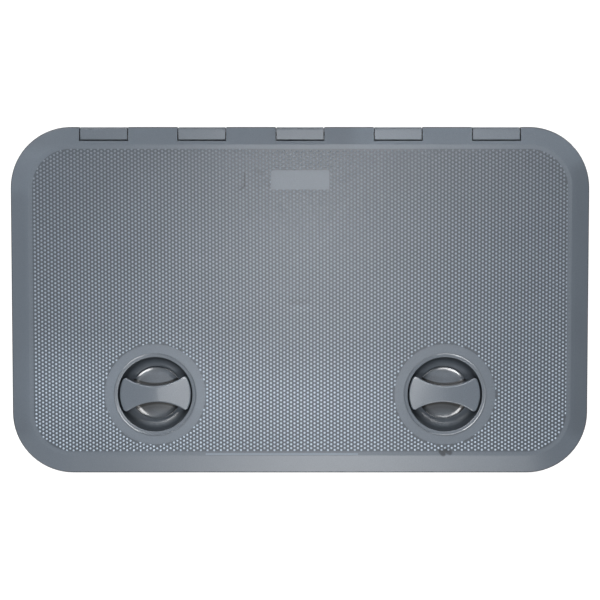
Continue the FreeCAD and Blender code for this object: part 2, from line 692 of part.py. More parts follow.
def make_arm_screw():
    """Pan head screw, driven upwards into the spindle."""
    seat = ARM_BOTTOM - ARM_WASHER
    head = disc(SCREW_PAN_R, seat - SCREW_PAN, seat)
    head = broken(head, SCREW_PAN_BREAK, lambda e: e.BoundBox.ZMax < seat - SCREW_PAN + TOUCH)
    slot = block(
        (-SCREW_PAN_R, SCREW_PAN_R),
        (-SCREW_SLOT_WIDTH / 2, SCREW_SLOT_WIDTH / 2),
        (seat - SCREW_PAN - OVERSHOOT, seat - SCREW_PAN + SCREW_SLOT_DEPTH),
    )
    return head.cut(slot).fuse(disc(SCREW_R, seat, seat + SCREW_LENGTH)).removeSplitter()


def make_all():
    """Every sub-part by its node's name."""
    parts = {
        "frame": make_frame(),
        "lid": make_lid(),
        "lid_gasket": make_gasket(),
        "hinge_pin": rod(PIN_R, -PIN_END, PIN_END),
        "hinge_pin_plug": rod(LID_BORE_R, BARREL_END - PLUG_LENGTH, BARREL_END),
    }
    round_pieces = {
        "latch_cup": make_cup(),
        "cup_seal": make_cup_seal(),
        "cup_nut": make_cup_nut(),
        "o_ring": make_o_ring(),
        "thrust_washer": make_thrust_washer(),
        "arm_washer": make_arm_washer(),
    }
    turning_pieces = {
        "handle": make_handle(),
        "latch_arm": make_arm(),
        "arm_screw": make_arm_screw(),
    }
    for name, side in SIDES:
        for piece, shape in round_pieces.items():
            parts[f"{name}_{piece}"] = at_latch(shape, side)
        for piece, shape in turning_pieces.items():
            parts[f"{name}_{piece}"] = turned_as_seen(shape, side)
    return parts


os.makedirs("parts", exist_ok=True)
for node, solid in make_all().items():
    solid.exportStep(f"parts/{node}.step")
    centre = solid.CenterOfGravity
    print(f"{node}: {len(solid.Solids)} solid, {solid.Volume / 1000:.1f} cm3, valid {solid.isValid()}, "
          f"centre ({centre.x:.1f}, {centre.y:.1f}, {centre.z:.1f})")
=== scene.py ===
# %% [markdown]
# # A flush deck hatch in grey moulded plastic
# The solids of the hatch are made already: a frame, a lid on a long pin, and two latches that turn in
# round cups. This file gives them what a picture needs: the non-slip dots, the soft edges of the cups and
# handles, the finish of each material, and a camera, a floor and lamps.

# %% Load the solids
import math

import bpy
import numpy as np
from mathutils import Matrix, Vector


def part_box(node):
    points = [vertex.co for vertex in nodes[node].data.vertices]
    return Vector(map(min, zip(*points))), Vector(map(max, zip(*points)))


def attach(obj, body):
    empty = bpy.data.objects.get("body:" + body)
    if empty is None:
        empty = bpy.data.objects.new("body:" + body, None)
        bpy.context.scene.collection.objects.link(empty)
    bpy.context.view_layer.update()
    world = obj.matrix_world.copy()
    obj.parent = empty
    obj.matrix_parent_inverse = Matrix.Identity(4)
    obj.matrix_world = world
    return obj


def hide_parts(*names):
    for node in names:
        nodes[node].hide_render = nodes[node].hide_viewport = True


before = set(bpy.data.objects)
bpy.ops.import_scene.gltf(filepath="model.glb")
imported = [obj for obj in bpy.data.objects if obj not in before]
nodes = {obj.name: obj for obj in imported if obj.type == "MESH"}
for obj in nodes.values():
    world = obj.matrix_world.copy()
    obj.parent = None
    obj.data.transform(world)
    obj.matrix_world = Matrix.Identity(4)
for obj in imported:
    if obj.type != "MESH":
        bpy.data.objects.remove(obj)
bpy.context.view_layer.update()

MM = 0.001
SIDES = ("left", "right")


# %% [markdown]
# ## Camera
# The hatch was seen from straight above, so its rim is almost free of perspective. A long lens 1.25 m
# over the deck gives the same small spread between the lid's top and its edge. The camera stands a little
# towards the hinge and leans back by two degrees, which brings the lid to the middle of the picture.

# %% Camera
CAMERA_HEIGHT = 1.25
CAMERA_Y = 0.0511
CAMERA_LEAN = math.radians(-2.333)
LENS_MM = 71.33
SENSOR_MM = 36.0

camera_data = bpy.data.cameras.new("camera")
camera_data.lens = LENS_MM
camera_data.sensor_width = SENSOR_MM
camera = bpy.data.objects.new("camera", camera_data)
camera.location = (0.0, CAMERA_Y, CAMERA_HEIGHT)
camera.rotation_euler = (CAMERA_LEAN, 0.0, 0.0)
bpy.context.scene.collection.objects.link(camera)
bpy.context.scene.camera = camera
print("camera at", tuple(camera.location), "lens", LENS_MM, "mm")

# %% [markdown]
# ## Small helpers for materials
# A material is a graph of nodes. These helpers keep the graphs short: they add a node and set its
# sockets, do arithmetic on values and places, make noise, and turn a colour as seen on a screen into the
# linear light that shaders work in.

# %% Material helpers


def screen(red, green, blue):
    """Linear colour of a screen colour.

    Each value v over 255 becomes ((v + 0.055) / 1.055) to the power 2.4, or v / 12.92 where it is small."""
    values = np.array([red, green, blue]) / 255.0
    return (*np.where(values < 0.04045, values / 12.92, ((values + 0.055) / 1.055) ** 2.4), 1.0)


def new_material(name):
    """An empty material with its shader and output: (material, node tree, shader)."""
    material = bpy.data.materials.new(name)
    material.use_nodes = True
    tree = material.node_tree
    tree.nodes.clear()
    output = tree.nodes.new("ShaderNodeOutputMaterial")
    shader = tree.nodes.new("ShaderNodeBsdfPrincipled")
    tree.links.new(shader.outputs["BSDF"], output.inputs["Surface"])
    return material, tree, shader


def add(tree, kind, inputs=None, **settings):
    """Add one node, set its properties, and fill its inputs with values or with other nodes' outputs."""
    node = tree.nodes.new(kind)
    for name, value in settings.items():
        setattr(node, name, value)
    for name, value in (inputs or {}).items():
        if isinstance(value, bpy.types.NodeSocket):
            tree.links.new(value, node.inputs[name])
        else:
            node.inputs[name].default_value = value
    return node


def maths(tree, operation, first, second=0.0):
    """Output of one arithmetic node."""
    return add(tree, "ShaderNodeMath", {0: first, 1: second}, operation=operation).outputs[0]


def vector_maths(tree, operation, inputs, output="Vector"):
    """Output of one arithmetic node for places: its Vector, or the number that is called Value."""
    return add(tree, "ShaderNodeVectorMath", inputs, operation=operation).outputs[output]


def place(tree):
    """Object coordinates, which are the hatch's own metres."""
    return add(tree, "ShaderNodeTexCoord").outputs["Object"]


def along_axis(tree, axis):
    """The place's coordinate along X, Y or Z."""
    return add(tree, "ShaderNodeSeparateXYZ", {0: place(tree)}).outputs[axis]


def noise(tree, grain, detail=2.0, stretch=(1.0, 1.0, 1.0)):
    """Noise between 0 and 1 whose grains are about this size in metres."""
    mapping = add(tree, "ShaderNodeMapping", {"Vector": place(tree), "Scale": stretch})
    inputs = {"Vector": mapping.outputs[0], "Scale": 1.0 / grain, "Detail": detail}
    return add(tree, "ShaderNodeTexNoise", inputs).outputs["Fac"]


def spread_to(tree, value, low, high, start=0.3, end=0.7):
    """The value's range start to end carried to the range low to high, and kept inside it.

    Noise lies mostly between 0.3 and 0.7, so those are the start and end where none are given."""
    inputs = {0: value, 1: start, 2: end, 3: low, 4: high}
    return add(tree, "ShaderNodeMapRange", inputs).outputs[0]


def height_between(tree, low, high, low_value, high_value):
    """A value that goes from one number to another as the height goes from low to high."""
    return spread_to(tree, along_axis(tree, "Z"), low_value, high_value, low, high)


def scaled(tree, colour, factor):
    """A colour multiplied by a factor. Inputs 6 and 7 and output 2 of the Mix node are its colours."""
    inputs = {0: 1.0, 6: colour, 7: factor}
    return add(tree, "ShaderNodeMix", inputs, data_type="RGBA", blend_type="MULTIPLY").outputs[2]


def bumped(tree, shader, height, depth):
    """Give the shader a bump: height runs from 0 to 1 over this depth in metres."""
    bump = add(tree, "ShaderNodeBump", {"Height": height, "Distance": depth, "Strength": 1.0})
    tree.links.new(bump.outputs[0], shader.inputs["Normal"])


print("a screen value of 128 in linear light is", screen(128, 128, 128)[0])

# %% [markdown]
# ## Places that the finishes need
# Painted shade and highlights follow the form. They depend on the height of the non-slip field and of the
# cups' rims, and on the distance from a handle's hollow sides. Heights and middles are read from the solids.

# %% Places on the hatch
FIELD_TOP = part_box("lid")[1].z
CUP_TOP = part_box("left_latch_cup")[1].z
WAIST_HALF = 8.2 * MM
HOLLOW_RADIUS = 52.0 * MM
HANDLE_TURN = math.radians(1.6)


def middle_of(node):
    """Middle of a solid's box, seen from above."""
    low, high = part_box(node)
    return np.array([(low.x + high.x) / 2, (low.y + high.y) / 2])


latch_middles = [middle_of(f"{side}_latch_cup") for side in SIDES]
print("field at", FIELD_TOP, "cups at", CUP_TOP, "middles", [middle.tolist() for middle in latch_middles])

# %% [markdown]
# ## The grey plastic
# Lid, frame and latches are moulded from one grey plastic and have stood outside for some years. Its skin
# has a fine spark-eroded grain, which scatters light and shows as a speckle. Broad, faint patches come
# from weathering. Grain is a bump, and speckle and patches change the colour, because the real ones do.

# %% Plastic
GREY = screen(96, 104, 113)
CUP_GREY = screen(90, 98, 107)
LID_ROUGHNESS = 0.34
DOT_ROUGHNESS = 0.30
GRAIN = 0.9 * MM
GRAIN_DEPTH = 0.035 * MM
PATCH = 60 * MM


def weathered_colour(tree, colour, speckle, patches):
    """The colour times one plus speckle and patches, each of them noise about zero."""
    fine = spread_to(tree, noise(tree, GRAIN, 3.0), 1.0 - speckle, 1.0 + speckle)
    broad = spread_to(tree, noise(tree, PATCH, 3.0), 1.0 - patches, 1.0 + patches)
    return scaled(tree, scaled(tree, colour, fine), broad)


def grained_plastic(name, colour, roughness, speckle=0.08, patches=0.03):
    """Moulded plastic with a fine grain, as (material, node tree, shader, colour), for dirt to be added."""
    material, tree, shader = new_material(name)
    shaded = weathered_colour(tree, colour, speckle, patches)
    tree.links.new(shaded, shader.inputs["Base Color"])
    shader.inputs["Roughness"].default_value = roughness
    bumped(tree, shader, noise(tree, GRAIN), GRAIN_DEPTH)
    return material, tree, shader, shaded


print("plastic grain", GRAIN, "m")

# %% [markdown]
# ## Marks, dirt and painted light on the lid
# A mark is a line between two places, seen from above. Near the line the colour is multiplied by the
# mark's value, and the change fades out over a soft edge. Narrow marks are dirt and scratches, and a
# painted highlight on the front bevel's top edge. The broad ones are a paler area at the front, and painted
# shade along the borders. Painted shade also lies between the dots and in a thin band round the edge.
# The dots' tops carry painted highlights, most of all at the front.

# %% Marks, dirt and painted light
# Start, end, half width and soft edge in millimetres, and what the colour is multiplied by in the middle.
MARKS = {
    "dirt_spot_left": ((147.0, -157.5), (149.4, -160.0), 1.6, 1.6, 0.36),
    "dirt_spot_right": ((152.0, -156.4), (156.4, -158.6), 1.5, 1.7, 0.42),
    "scratch_down": ((-57.3, 131.8), (-57.3, 119.1), 0.3, 1.0, 0.45),
    "scratch_hook": ((-57.3, 119.1), (-61.9, 115.1), 0.3, 1.0, 0.50),
    "faint_streak": ((-45.0, 135.0), (-38.0, 131.0), 0.6, 1.6, 0.75),
    "small_spot": ((-32.0, 119.2), (-32.0, 118.8), 0.5, 1.2, 0.60),
    "pale_smudge": ((-6.0, -7.5), (9.0, -7.5), 1.5, 3.0, 1.12),
    "dark_smudge": ((-9.0, -0.7), (7.0, -0.7), 1.5, 3.0, 0.88),
    # A broad area at the front is made paler.
    "paler_front": ((-245.0, -92.0), (60.0, -105.0), 8.0, 55.0, 1.22),
    # Painted highlight: a thin bright line on the front bevel's top edge.
    "painted_edge_highlight": ((-98.0, -159.9), (60.0, -159.9), 0.3, 0.5, 1.8),
    # Painted shade on the bevels along the rear, left and right borders.
    "painted_rear_shade": ((-290.0, 172.0), (40.0, 172.0), 8.0, 14.0, 0.86),
    "painted_left_shade": ((-292.0, -130.0), (-292.0, 100.0), 6.0, 12.0, 0.88),
    "painted_right_shade": ((292.0, -130.0), (292.0, 130.0), 6.0, 12.0, 0.82),
}
# Painted shade: a thin dark band on the lid's round edge, below the bevel.
EDGE_BELOW_FIELD = 3.10 * MM
EDGE_FADE = 0.08 * MM
EDGE_BAND = 0.52 * MM
EDGE_VALUE = 0.15
# Painted shade on the ground between the dots and at the dots' feet.
GROUND_UNSHADED_DEPTH = 0.2 * MM
GROUND_SHADED_DEPTH = 0.1 * MM
GROUND_SHADE_VALUE = 0.62
# Painted highlights on the dots' tops, brighter towards the front.
DOT_HIGHLIGHT_FOOT = 0.05 * MM
DOT_HIGHLIGHT_TOP = 0.35 * MM
DOT_HIGHLIGHT_REACH = 150 * MM
DOT_HIGHLIGHT_REAR_VALUE = 1.35
DOT_HIGHLIGHT_FRONT_VALUE = 3.3


def far_from_line(tree, start, end):
    """Distance in metres from a line between two places on the lid, seen from above.

    The nearest point is start plus along times t, where t is the dot product of the way from the start with
    along, over along's square, kept between 0 and 1."""
    flat = vector_maths(tree, "MULTIPLY", {0: place(tree), 1: (1.0, 1.0, 0.0)})
    along = (end[0] - start[0], end[1] - start[1], 0.0)
    square = along[0] ** 2 + along[1] ** 2
    way = vector_maths(tree, "SUBTRACT", {0: flat, 1: (*start, 0.0)})
    shares = {0: way, 1: (along[0] / square, along[1] / square, 0.0)}
    share = vector_maths(tree, "DOT_PRODUCT", shares, "Value")
    share = maths(tree, "MINIMUM", maths(tree, "MAXIMUM", share, 0.0), 1.0)
    nearest = vector_maths(tree, "SCALE", {0: along, "Scale": share})
    return vector_maths(tree, "DISTANCE", {0: way, 1: nearest}, "Value")


def marked(tree, colour):
    """A colour with all the marks on it."""
    for start, end, half_width, soft, factor in MARKS.values():
        ends = [tuple(v * MM for v in corner) for corner in (start, end)]
        away = far_from_line(tree, *ends)
        strength = spread_to(tree, away, factor, 1.0, half_width * MM, (half_width + soft) * MM)
        colour = scaled(tree, colour, strength)
    return colour


def painted_light_factor(tree, first, second, value):
    """Factor that painted shade, or painted light for a value above one, leaves of a colour:
    one minus first share times second share times (one minus value).
    """
    shading = maths(tree, "MULTIPLY", maths(tree, "MULTIPLY", first, second), 1.0 - value)
    return maths(tree, "SUBTRACT", 1.0, shading)


def painted_edge_shade(tree, colour):
    """Painted shade on the round edge: a thin dark band below the bevel that ends above the lid's underside.
    """
    top = FIELD_TOP - EDGE_BELOW_FIELD
    begun = height_between(tree, top - EDGE_FADE, top, 1.0, 0.0)
    lasting = height_between(tree, top - EDGE_BAND - EDGE_FADE, top - EDGE_BAND, 0.0, 1.0)
    return scaled(tree, colour, painted_light_factor(tree, begun, lasting, EDGE_VALUE))


def shaded_and_marked(finish, ground_shade):
    """A finish with painted shade on the ground between the dots, multiplied by a value, painted shade on
    the edge, and the marks.
    """
    material, tree, shader, colour = finish
    factor = height_between(tree, FIELD_TOP - GROUND_UNSHADED_DEPTH, FIELD_TOP - GROUND_SHADED_DEPTH, 1.0, ground_shade)
    colour = painted_edge_shade(tree, scaled(tree, colour, factor))
    tree.links.new(marked(tree, colour), shader.inputs["Base Color"])
    return material


def dots_with_painted_highlights(finish):
    """A finish for the dots: painted shade at their feet, like the ground, and painted highlights on their
    tops.

    The colour is multiplied by ground value + share * (top value - ground value). The share rises from the
    foot to the top, and the top value from the rear edge of the lid to the front, where the painted
    highlights are brightest."""
    material, tree, shader, colour = finish
    y = along_axis(tree, "Y")
    top_value = spread_to(tree, y, DOT_HIGHLIGHT_FRONT_VALUE, DOT_HIGHLIGHT_REAR_VALUE, -DOT_HIGHLIGHT_REACH, DOT_HIGHLIGHT_REACH)
    share = height_between(tree, FIELD_TOP + DOT_HIGHLIGHT_FOOT, FIELD_TOP + DOT_HIGHLIGHT_TOP, 0.0, 1.0)
    raised = maths(tree, "MULTIPLY", maths(tree, "SUBTRACT", top_value, GROUND_SHADE_VALUE), share)
    factor = maths(tree, "ADD", raised, GROUND_SHADE_VALUE)
    tree.links.new(marked(tree, scaled(tree, colour, factor)), shader.inputs["Base Color"])
    return material


lid_plastic = shaded_and_marked(grained_plastic("lid_plastic", GREY, LID_ROUGHNESS), GROUND_SHADE_VALUE)
dot_plastic = dots_with_painted_highlights(grained_plastic("dot_plastic", GREY, DOT_ROUGHNESS))
frame_plastic = shaded_and_marked(grained_plastic("frame_plastic", GREY, LID_ROUGHNESS), 1.0)
print("marks:", len(MARKS))

# %% [markdown]
# ## Finish of the cups and handles
# Cups and handles are smoother than the lid and have a clear gloss, which dirt has dulled inside the
# cups. Painted shade darkens their upright faces, and fills the corner between a handle's bar and its base
# disc, where the gloss is dulled too. Beside the bar, painted light lies over the disc on the rear side, and
# a painted shadow on the front side.

# %% Cups and handles
LATCH_ROUGHNESS = 0.34
LATCH_SPECKLE = 0.10
LATCH_PATCHES = 0.02
GLOSS_ROUGHNESS = 0.10
RIM_GLOSS_DEPTH = 1.6 * MM
RIM_GLOSS_FADE = 0.6
BOWL_GLOSS = 0.25
DISC_DEPTH = 12.6 * MM
DISC_FADE = 0.5 * MM
BAR_EDGE = -3 * MM
# Depths below the rim in millimetres: no painted shade at the first and the last, and full between the
# middle two.
CUP_SHADE_DEPTHS = (17.3, 10.0, 1.0, 0.6)
# Painted shade on the cup's steep bowl wall.
CUP_SHADE_VALUE = 0.30
HANDLE_SHADE_DEPTHS = (15.2, 13.6, 4.0, 3.2)
# Painted shade on the handle's upright sides.
HANDLE_SHADE_VALUE = 0.22
# Side of the bar, where it is full and where it ends in millimetres, and the colour's factor: below one is
# painted shade, above one painted light.
DISC_LIGHT_AND_SHADOW = ((1, 12.0, 20.0, 1.35), (-1, 7.0, 15.0, 0.35))
CORNER_SHADE = ((1, 1.7, 2.7, 0.10), (-1, 3.5, 4.7, 0.08))


def latch_finish(name, colour, depths, shade_value):
    """Smooth plastic with a clear gloss, and with its colour multiplied by painted shade between the depths.
    """
    finish = grained_plastic(name, colour, LATCH_ROUGHNESS, LATCH_SPECKLE, LATCH_PATCHES)
    material, tree, shader, colour = finish
    low, low_end, high_end, high = [CUP_TOP - depth * MM for depth in depths]
    rising = height_between(tree, low, low_end, 0.0, 1.0)
    falling = height_between(tree, high_end, high, 1.0, 0.0)
    shaded = scaled(tree, colour, painted_light_factor(tree, rising, falling, shade_value))
    tree.links.new(shaded, shader.inputs["Base Color"])
    shader.inputs["Coat Weight"].default_value = 1.0
    shader.inputs["Coat Roughness"].default_value = GLOSS_ROUGHNESS
    return material, tree, shader, shaded


def glossy_rim(finish):
    """A finish with full gloss on a cup's rim, and less inside the cup, which hands and dirt have dulled."""
    material, tree, shader, _ = finish
    low = CUP_TOP - RIM_GLOSS_DEPTH
    high = CUP_TOP - RIM_GLOSS_FADE * RIM_GLOSS_DEPTH
    tree.links.new(height_between(tree, low, high, BOWL_GLOSS, 1.0), shader.inputs["Coat Weight"])
    return material


def beside_bar(tree, way):
    """Distance from a handle's rear (way 1) or front (way -1) long side.

    It is the hollow's radius less the way to the hollow's centre. The left handle is the mirror image of the
    right one, so the size of x serves both."""
    parts = add(tree, "ShaderNodeSeparateXYZ", {0: place(tree)})
    mirrored = {"X": maths(tree, "ABSOLUTE", parts.outputs["X"]), "Y": parts.outputs["Y"]}
    flat = add(tree, "ShaderNodeCombineXYZ", mirrored).outputs[0]
    x, y = middle_of("right_latch_cup")
    reach = way * (WAIST_HALF + HOLLOW_RADIUS)
    hollow_middle = (x + math.sin(HANDLE_TURN) * reach, y + math.cos(HANDLE_TURN) * reach, 0.0)
    length = vector_maths(tree, "DISTANCE", {0: flat, 1: hollow_middle}, "Value")
    return maths(tree, "SUBTRACT", HOLLOW_RADIUS, length)


def painted_beside_bar(tree, low_down, way, full, end, left):
    """The factor of painted shade beside the bar, or painted light for a value above one, where low_down is
    1 at the depth of the base disc.
    """
    away = beside_bar(tree, way)
    line = spread_to(tree, away, 1.0, 0.0, full * MM, end * MM)
    own_side = maths(tree, "MULTIPLY", maths(tree, "GREATER_THAN", away, BAR_EDGE), low_down)
    return painted_light_factor(tree, line, own_side, left)


def painted_disc_shading(finish):
    """A finish with painted shade and dulled gloss in the corner between a handle's bar and base disc, and
    painted light and shadow on the disc beside it.
    """
    material, tree, shader, colour = finish
    low_down = height_between(tree, CUP_TOP - DISC_DEPTH - DISC_FADE, CUP_TOP - DISC_DEPTH, 1.0, 0.0)
    # Painted light on the disc behind the bar, and a painted shadow in front of it.
    for light_or_shadow in DISC_LIGHT_AND_SHADOW:
        colour = scaled(tree, colour, painted_beside_bar(tree, low_down, *light_or_shadow))
    gloss = 1.0
    # Painted shade in the corner at the bar's foot.
    for shading in CORNER_SHADE:
        left = painted_beside_bar(tree, low_down, *shading)
        colour = scaled(tree, colour, left)
        gloss = maths(tree, "MULTIPLY", left, gloss)
    tree.links.new(gloss, shader.inputs["Coat Weight"])
    tree.links.new(colour, shader.inputs["Base Color"])
    return material


cup_finish = latch_finish("cup_plastic", CUP_GREY, CUP_SHADE_DEPTHS, CUP_SHADE_VALUE)
cup_plastic = glossy_rim(cup_finish)
handle_finish = latch_finish("handle_plastic", GREY, HANDLE_SHADE_DEPTHS, HANDLE_SHADE_VALUE)
handle_plastic = painted_disc_shading(handle_finish)
print("latch finishes:", cup_plastic.name, handle_plastic.name)

# %% [markdown]
# ## Other materials
# The pieces under the lid are seen when it opens: rubber seals, black and white nylon, and steel. Each
# has a finish of its own. Drawn steel has fine lines, so its noise is stretched along one axis. The hinge
# pin is given dark steel as painted shade in the gaps beside the knuckles.

# %% Rubber, nylon and steel
RUBBER_BLACK = (0.022, 0.022, 0.023, 1.0)
RUBBER_ROUGHNESS = 0.75
NYLON_BLACK = (0.020, 0.021, 0.023, 1.0)
NYLON_WHITE = (0.72, 0.72, 0.68, 1.0)
STEEL_BRIGHTNESS = 0.40
# Painted shade: the pin's steel is dark so that the gaps beside the knuckles look shaded.
PIN_BRIGHTNESS = 0.05


def rubber():
    """Matte black rubber with a dusty bloom."""
    material, tree, shader = new_material("seal_rubber")
    bloom = spread_to(tree, noise(tree, grain=6 * MM, detail=4.0), low=0.6, high=1.8)
    tree.links.new(scaled(tree, RUBBER_BLACK, bloom), shader.inputs["Base Color"])
    shader.inputs["Roughness"].default_value = RUBBER_ROUGHNESS
    bumped(tree, shader, noise(tree, grain=0.5 * MM), depth=0.03 * MM)
    return material


def nylon(name, colour, roughness):
    """Smooth nylon with the faint flow marks of moulding."""
    material, tree, shader = new_material(name)
    flow = spread_to(tree, noise(tree, grain=9 * MM, stretch=(1.0, 0.3, 1.0)), low=0.88, high=1.12)
    tree.links.new(scaled(tree, colour, flow), shader.inputs["Base Color"])
    shader.inputs["Roughness"].default_value = roughness
    bumped(tree, shader, noise(tree, grain=0.7 * MM), depth=0.02 * MM)
    return material


def steel(name, value):
    """Steel of this brightness with fine drawing lines along the hinge axis."""
    material, tree, shader = new_material(name)
    lines = noise(tree, grain=0.4 * MM, stretch=(0.03, 1.0, 1.0))
    streaks = spread_to(tree, lines, low=0.9, high=1.1)
    tree.links.new(scaled(tree, (value, value, 0.98 * value, 1.0), streaks), shader.inputs["Base Color"])
    tree.links.new(spread_to(tree, lines, low=0.35, high=0.5), shader.inputs["Roughness"])
    shader.inputs["Metallic"].default_value = 1.0
    bumped(tree, shader, lines, depth=0.004 * MM)
    return material


seal_rubber = rubber()
dark_nylon = nylon("dark_nylon", NYLON_BLACK, roughness=0.38)
white_nylon = nylon("white_nylon", NYLON_WHITE, roughness=0.42)
stainless = steel("stainless", STEEL_BRIGHTNESS)
shaded_pin_steel = steel("shaded_pin_steel", PIN_BRIGHTNESS)
print("other materials:", [m.name for m in (seal_rubber, dark_nylon, white_nylon, stainless, shaded_pin_steel)])

# %% Put the materials on the solids
FINISHES = {
    "frame": frame_plastic,
    "lid": lid_plastic,
    "lid_gasket": seal_rubber,
    "hinge_pin": shaded_pin_steel,
    "hinge_pin_plug": frame_plastic,
    "latch_cup": cup_plastic,
    "cup_seal": seal_rubber,
    "cup_nut": dark_nylon,
    "handle": handle_plastic,
    "o_ring": seal_rubber,
    "thrust_washer": white_nylon,
    "latch_arm": dark_nylon,
    "arm_washer": stainless,
    "arm_screw": stainless,
}
for name, node in nodes.items():
    plain_name = name.removeprefix("left_").removeprefix("right_")
    node.data.materials.clear()
    node.data.materials.append(FINISHES[plain_name])
print("finished", len(nodes), "solids")

# %% [markdown]
# ## Meshes from arrays
# Every new piece is a set of points worked out as whole arrays. A grid of points becomes four-sided faces
# by index arithmetic: the corner at row i and column j joins its right and lower neighbours. Rows and
# columns may close on themselves.

# %% Mesh helpers


def grid_faces(rows, columns, rows_close, columns_close):
    """Four corners of each face of a grid: (i, j), (i, j+1), (i+1, j+1), (i+1, j), with wrapped indices."""
    i = np.arange(rows if rows_close else rows - 1)[:, None]
    j = np.arange(columns if columns_close else columns - 1)[None, :]
    down = (i + 1) % rows
    right = (j + 1) % columns
    corners = [i * columns + j, i * columns + right, down * columns + right, down * columns + j]
    return np.stack(np.broadcast_arrays(*corners), axis=-1).reshape(-1, 4)


def new_piece(name, points, faces, material):
    """A smooth-shaded object from points in metres and faces that face outwards."""
    mesh = bpy.data.meshes.new(name)
    mesh.from_pydata(points.reshape(-1, 3).tolist(), [], faces)
    mesh.polygons.foreach_set("use_smooth", np.ones(len(mesh.polygons), bool))
    mesh.materials.append(material)
    mesh.update()
    piece = bpy.data.objects.new(name, mesh)
    bpy.context.scene.collection.objects.link(piece)
    return piece


def arc(centre, radius, start, end, count):
    """Points on a circle from one angle in degrees to another: centre plus radius times (cosine, sine)."""
    angles = np.radians(np.linspace(start, end, count))
    return np.stack([centre[0] + radius * np.cos(angles), centre[1] + radius * np.sin(angles)], axis=-1)


def straight(start, end, count):
    """Evenly spaced points between two, without the ends."""
    steps = np.linspace(0.0, 1.0, count + 2)[1:-1, None]
    return np.asarray(start) + steps * (np.asarray(end) - np.asarray(start))


def joined(parts):
    """One section from its parts, each of them a point, a list of points or an array."""
    return np.concatenate([np.asarray(part, float).reshape(-1, 2) for part in parts])


def dish(width, radius):
    """How far an arc turns over a width, asin(width / radius) in degrees, and its rise r (1 - cos)."""
    angle = math.degrees(math.asin(width / radius))
    return angle, radius * (1 - math.cos(math.radians(angle)))


def turned(profile, centre, segments):
    """Grid of a closed section turned about an upright axis: (r cos a, r sin a, z), plus the centre.

    The section runs anticlockwise when radius points right and height up, so that faces point outwards."""
    angles = np.linspace(0.0, 2 * math.pi, segments, endpoint=False)
    radius = profile[None, :, 0]
    x = centre[0] + radius * np.cos(angles)[:, None]
    y = centre[1] + radius * np.sin(angles)[:, None]
    z = np.broadcast_to(profile[None, :, 1], x.shape)
    return np.stack([x, y, z], axis=-1), grid_faces(segments, len(profile), True, True).tolist()


# Corners of a square of half side 1, anticlockwise from above.
SQUARE = np.array([(-1, -1), (1, -1), (1, 1), (-1, 1)])
print("a grid of 3 by 4 points, closed both ways, has", len(grid_faces(3, 4, True, True)), "faces")

# %% [markdown]
# ## Non-slip dots
# The lid's field is covered by low round domes in a triangular lattice: columns run from front to rear,
# and each column is shifted by half a pitch from the next. At the field's border, round the latches and
# round the bare label place the mould cuts through the domes, so points beyond such an edge are moved
# back onto it, and a dome is left out where its centre isn't inside. One dome has only 25 points, because
# there are thousands.

# %% Lattice of dot centres
DOT_PITCH = 4.007 * MM
COLUMN_SPACING = 3.488 * MM
FIRST_DOT = np.array([1.007, 0.606]) * MM
LATTICE_SKEW = 0.0015
LATTICE_COLUMNS = 85
LATTICE_ROWS = 45
FIELD_HALF = np.array([277.0, 157.0]) * MM
FIELD_CORNER = 40.0 * MM
LABEL_MIDDLE = np.array([0.0, 125.2]) * MM
LABEL_HALF = np.array([30.2, 10.0]) * MM
PAD_RADIUS = 52.5 * MM
LEAST_INSIDE = 0.2 * MM
TINY = 1e-12


def lattice_centres():
    """Column c and row r give x = c * spacing and y = (r + half of odd c) * pitch, turned by the skew."""
    columns = np.arange(-LATTICE_COLUMNS, LATTICE_COLUMNS + 1)
    rows = np.arange(-LATTICE_ROWS, LATTICE_ROWS + 1)
    c, r = np.meshgrid(columns, rows)
    x = c * COLUMN_SPACING
    y = (r + 0.5 * (c % 2)) * DOT_PITCH
    turned_x = x - LATTICE_SKEW * y
    turned_y = y + LATTICE_SKEW * x
    return np.stack([turned_x, turned_y], axis=-1).reshape(-1, 2) + FIRST_DOT


def past_round_box(points, middle, half, corner):
    """How far each point lies outside a box with round corners (less than 0 inside), and the way out.

    Beyond the corner's centre the distance is the length to that centre less the radius."""
    local = points - middle
    q = np.abs(local) - (half - corner)
    outside = np.maximum(q, 0.0)
    length = np.linalg.norm(outside, axis=-1)
    distance = length + np.minimum(q.max(axis=-1), 0.0) - corner
    nearest_side = np.eye(2)[q.argmax(axis=-1)]
    way = np.where(length[..., None] > 0, outside / np.maximum(length, TINY)[..., None], nearest_side)
    return distance, way * np.sign(local)


def past_circle(points, middle, radius):
    """How far each point lies outside a circle, and the way out."""
    local = points - middle
    length = np.linalg.norm(local, axis=-1)
    return length - radius, local / np.maximum(length, TINY)[..., None]


def field_limits(points):
    """For each edge of the field: how far each point lies beyond it, and the way back."""
    distance, way = past_round_box(points, np.zeros(2), FIELD_HALF, FIELD_CORNER)
    limits = [(distance, -way)]
    distance, way = past_round_box(points, LABEL_MIDDLE, LABEL_HALF, 0.0)
    limits.append((-distance, way))
    for middle in latch_middles:
        distance, way = past_circle(points, middle, PAD_RADIUS)
        limits.append((-distance, way))
    return limits


centres = lattice_centres()
beyond = np.max([distance for distance, _ in field_limits(centres)], axis=0)
centres = centres[beyond < -LEAST_INSIDE]
print("dots:", len(centres))

# %% Domes on the lattice
DOT_RADIUS = 1.25 * MM
DOT_HEIGHT = 0.50 * MM
DOT_SUNK = 0.05 * MM
DOT_SIDES = 8
# Each ring's share of the radius and of the height. The first ring is the foot, sunk into the lid.
DOT_RINGS = ((1.0, None), (0.85, 0.68), (0.50, 0.92))


